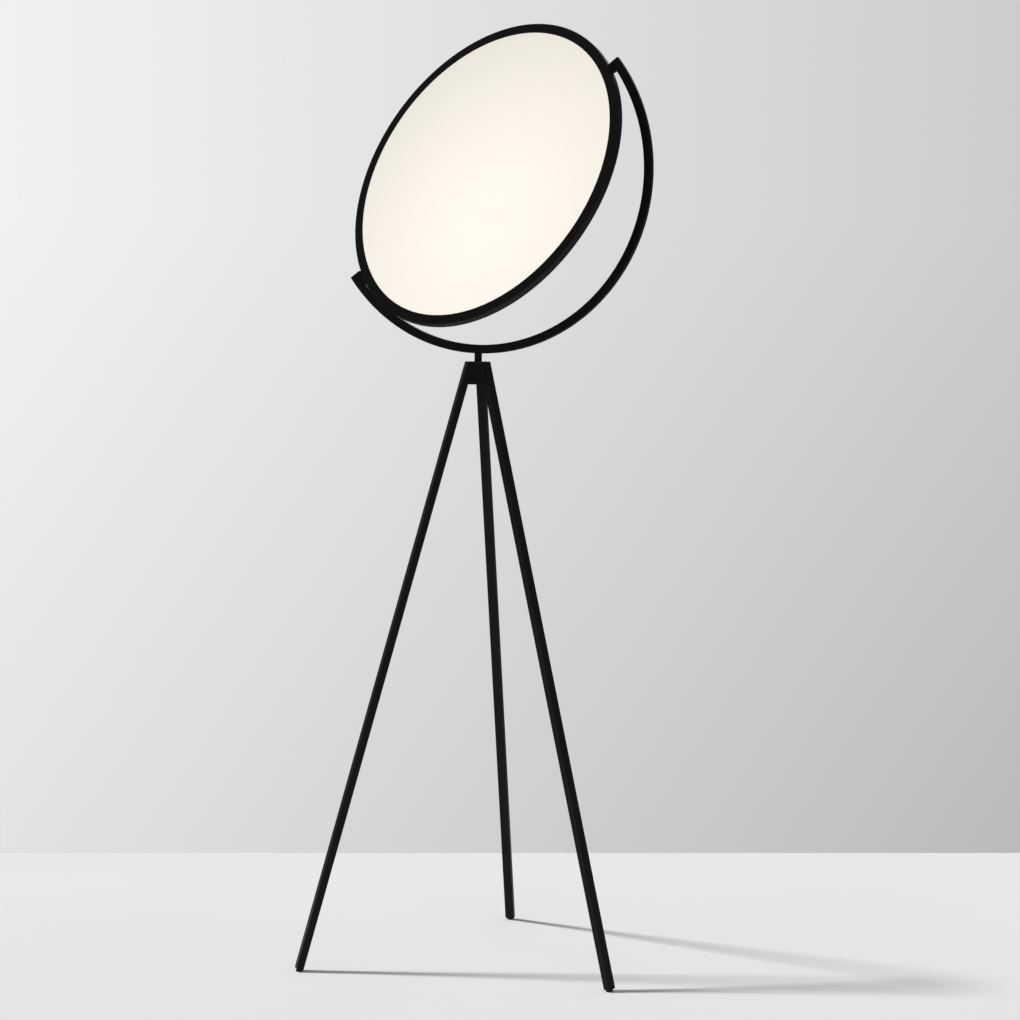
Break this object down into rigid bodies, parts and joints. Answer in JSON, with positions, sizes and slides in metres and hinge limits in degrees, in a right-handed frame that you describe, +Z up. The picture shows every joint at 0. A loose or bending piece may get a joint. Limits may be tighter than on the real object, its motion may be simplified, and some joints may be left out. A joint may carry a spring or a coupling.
{
  "type": "tripod floor lamp",
  "caption": "Floor lamp: a round flat light disc tilts inside a leaning half-ring arc that swivels on a slim black tripod stand.",
  "frame": {"origin": "on the floor, at the middle of the lamp's bounding box at rest; the vertical swivel axis stands at x = -0.0286 m, y = -0.0594 m", "axes": "+Z up; the half-ring arc lies in a plane parallel to XZ and its upper end is towards +X; the lit face looks to the front, -Y, turned up and towards -X"},
  "size_m": [0.6802, 0.6147, 1.9038],
  "materials": {
    "black_powder_steel": "satin black powder coat",
    "black_powder_aluminium": "satin black powder coat on aluminium",
    "black_screws": "black oxide",
    "black_rubber": "matt",
    "bush_bronze": "sintered bronze",
    "bright_steel": "zinc plated",
    "opal_diffuser": "opal, lit from behind",
    "clear_light_guide": "clear acrylic",
    "white_reflector": "white film",
    "strip_board": "white solder mask",
    "led_phosphor": "phosphor",
    "grey_lead": "smooth"
  },
  "bodies": {
    "stand": {"hub": "black_powder_steel", "leg_left": "black_powder_steel", "leg_right": "black_powder_steel", "leg_back": "black_powder_steel", "foot_pad_left": "black_rubber", "foot_pad_right": "black_rubber", "foot_pad_back": "black_rubber", "leg_screws": "black_screws", "swivel_bush_upper": "bush_bronze", "swivel_bush_lower": "bush_bronze", "swivel_stop_pin": "bright_steel", "hub_cover": "black_powder_aluminium", "hub_cover_screws": "black_screws", "cable_grommet": "black_rubber"},
    "arm": {"stem": "black_powder_steel", "thrust_washer": "bright_steel", "stop_collar": "bright_steel", "wave_washer": "bright_steel", "stem_nut": "bright_steel", "arc": "black_powder_aluminium", "arc_cover_strip": "black_powder_aluminium", "arc_lead": "grey_lead", "pivot_housing_upper": "black_powder_aluminium", "pivot_housing_lower": "black_powder_aluminium", "pivot_bush_upper": "bush_bronze", "pivot_bush_lower": "bush_bronze", "tilt_stop_screw": "bright_steel"},
    "light_disc": {"rim": "black_powder_aluminium", "diffuser": "opal_diffuser", "light_guide": "clear_light_guide", "reflector": "white_reflector", "led_strip": "strip_board", "leds": "led_phosphor", "retaining_ring": "white_reflector", "back_cover": "black_powder_aluminium", "back_cover_screws": "black_screws", "pivot_pin_upper": "bright_steel", "pivot_pin_lower": "bright_steel", "pivot_washers": "black_screws", "pin_set_screws": "bright_steel", "disc_lead": "grey_lead", "lead_board": "strip_board"}
  },
  "joints": [
    {"name": "head_swivel", "type": "hinge", "parent": "stand", "child": "arm", "pos_m": [-0.02856, -0.05942, 1.22], "axis": [0, 0, 1], "range_deg": [-160, 160]},
    {"name": "disc_tilt", "type": "hinge", "parent": "arm", "child": "light_disc", "pos_m": [-0.02056, -0.05942, 1.596], "axis": [0.8039, 0, 0.5948], "range_deg": [-120, 180]}
  ]
}
